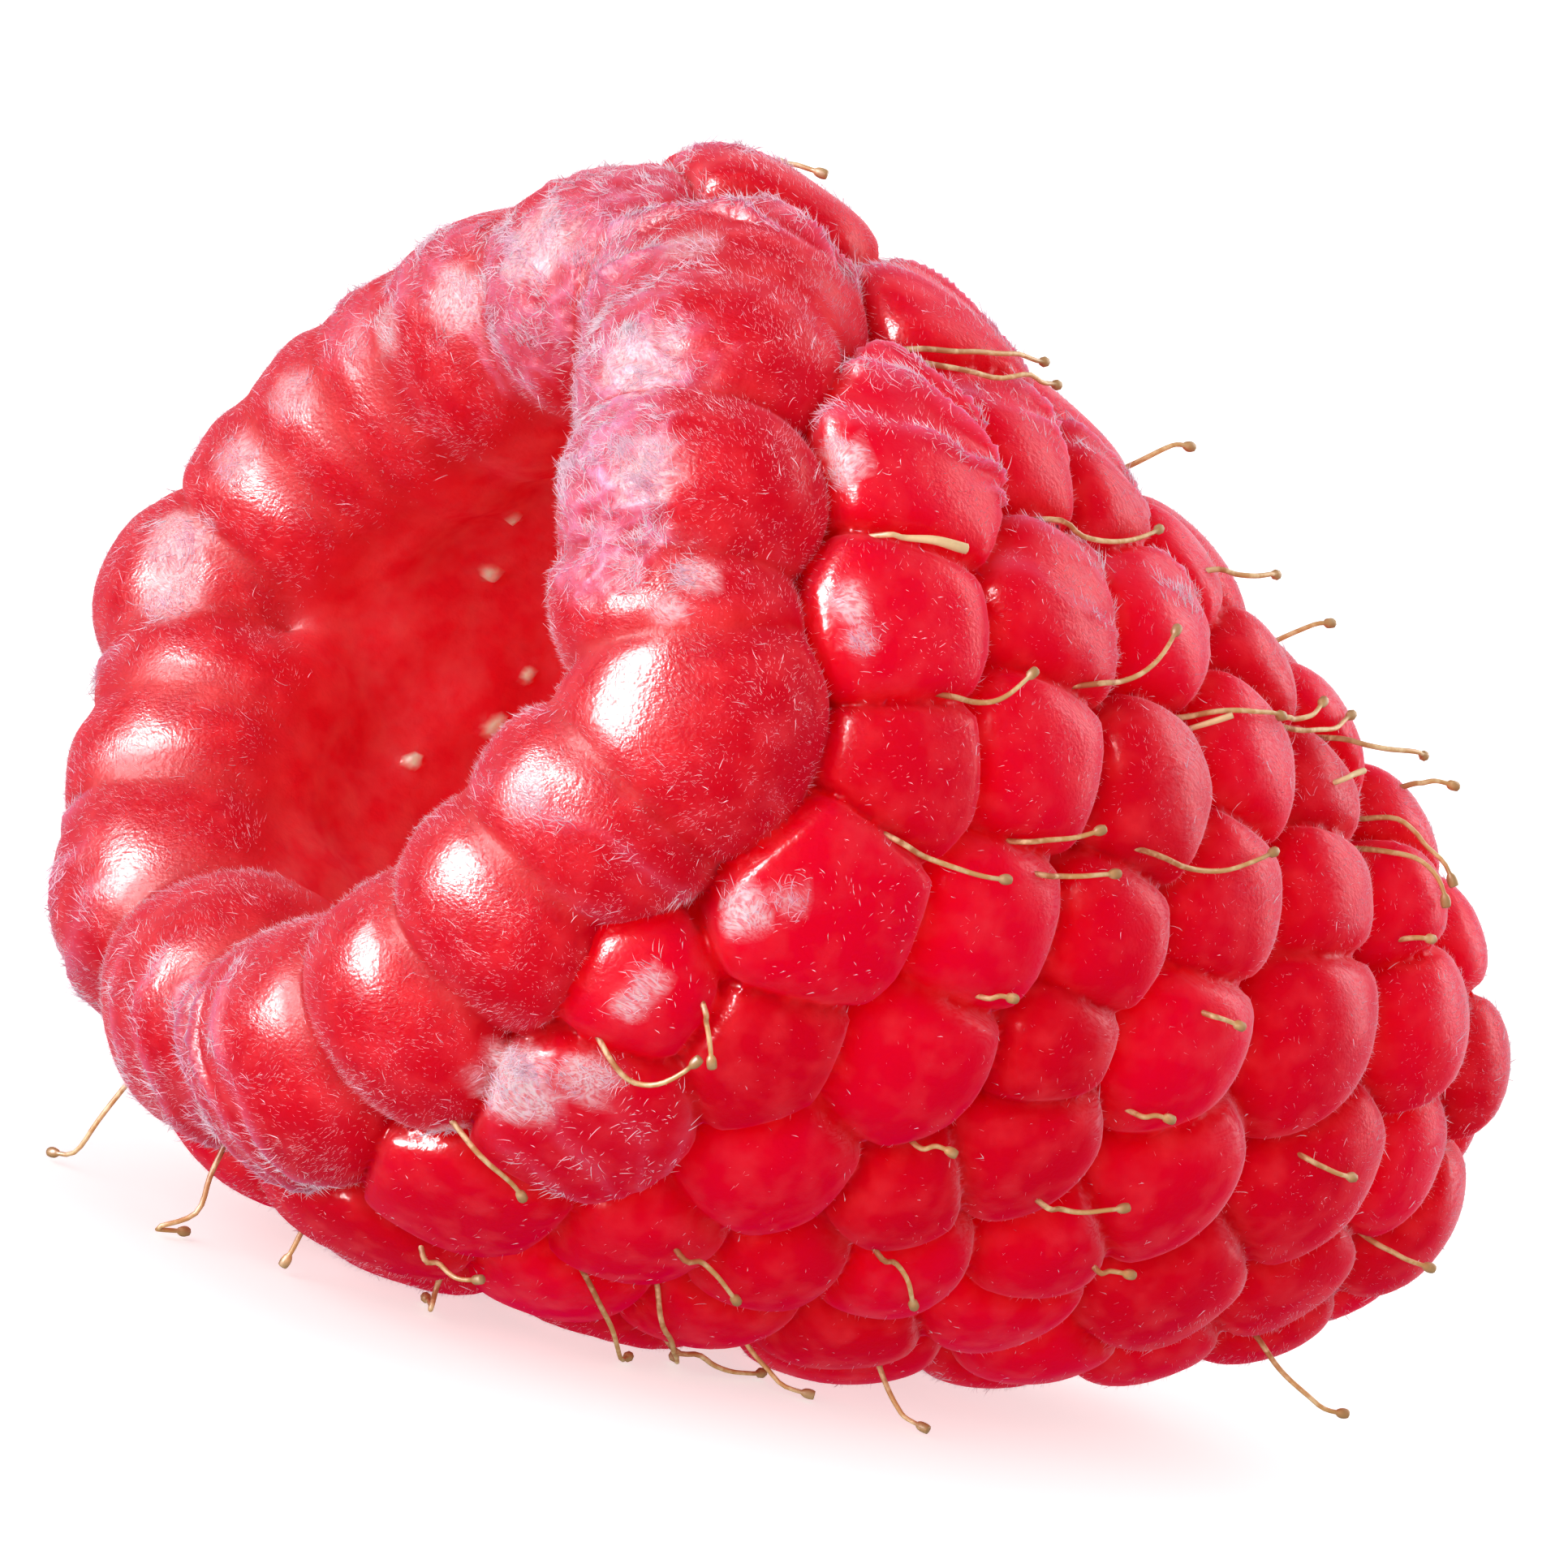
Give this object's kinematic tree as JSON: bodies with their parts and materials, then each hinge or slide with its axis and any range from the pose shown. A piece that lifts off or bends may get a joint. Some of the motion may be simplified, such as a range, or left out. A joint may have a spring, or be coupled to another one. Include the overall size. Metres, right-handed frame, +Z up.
{
  "type": "raspberry",
  "caption": "Ripe raspberry picked off its core, lying on its side: a thimble of drupelets grown together round an open hollow, with dry thread-like styles.",
  "frame": {"origin": "middle of the footprint on the surface that the berry lies on", "axes": "+Z up; the berry's mouth faces -X and a little up, and its tip points to +X and down"},
  "size_m": [0.0264, 0.02, 0.0205],
  "materials": {
    "flesh": "soft, juicy, translucent skin with fine white down",
    "dry_style": "dry, dull, straw coloured thread"
  },
  "bodies": {
    "root": {"berry": "flesh", "style_01": "dry_style", "style_02": "dry_style", "style_03": "dry_style", "style_04": "dry_style", "style_05": "dry_style", "style_06": "dry_style", "style_07": "dry_style", "style_08": "dry_style", "style_09": "dry_style", "style_10": "dry_style", "style_11": "dry_style", "style_12": "dry_style", "style_13": "dry_style", "style_14": "dry_style", "style_15": "dry_style", "style_16": "dry_style", "style_17": "dry_style", "style_18": "dry_style", "style_19": "dry_style", "style_20": "dry_style", "style_21": "dry_style", "style_22": "dry_style", "style_23": "dry_style", "style_24": "dry_style", "style_25": "dry_style", "style_26": "dry_style", "style_27": "dry_style", "style_28": "dry_style", "style_29": "dry_style", "style_30": "dry_style", "style_31": "dry_style", "style_32": "dry_style", "style_33": "dry_style", "style_34": "dry_style", "style_35": "dry_style", "style_36": "dry_style", "style_37": "dry_style", "style_38": "dry_style", "style_39": "dry_style", "style_40": "dry_style", "style_41": "dry_style", "style_42": "dry_style", "style_43": "dry_style", "style_44": "dry_style", "style_45": "dry_style", "style_46": "dry_style", "style_47": "dry_style", "style_48": "dry_style", "style_49": "dry_style", "style_50": "dry_style", "style_51": "dry_style", "style_52": "dry_style", "style_53": "dry_style", "style_54": "dry_style", "style_55": "dry_style", "style_56": "dry_style", "style_57": "dry_style", "style_58": "dry_style"}
  },
  "joints": []
}
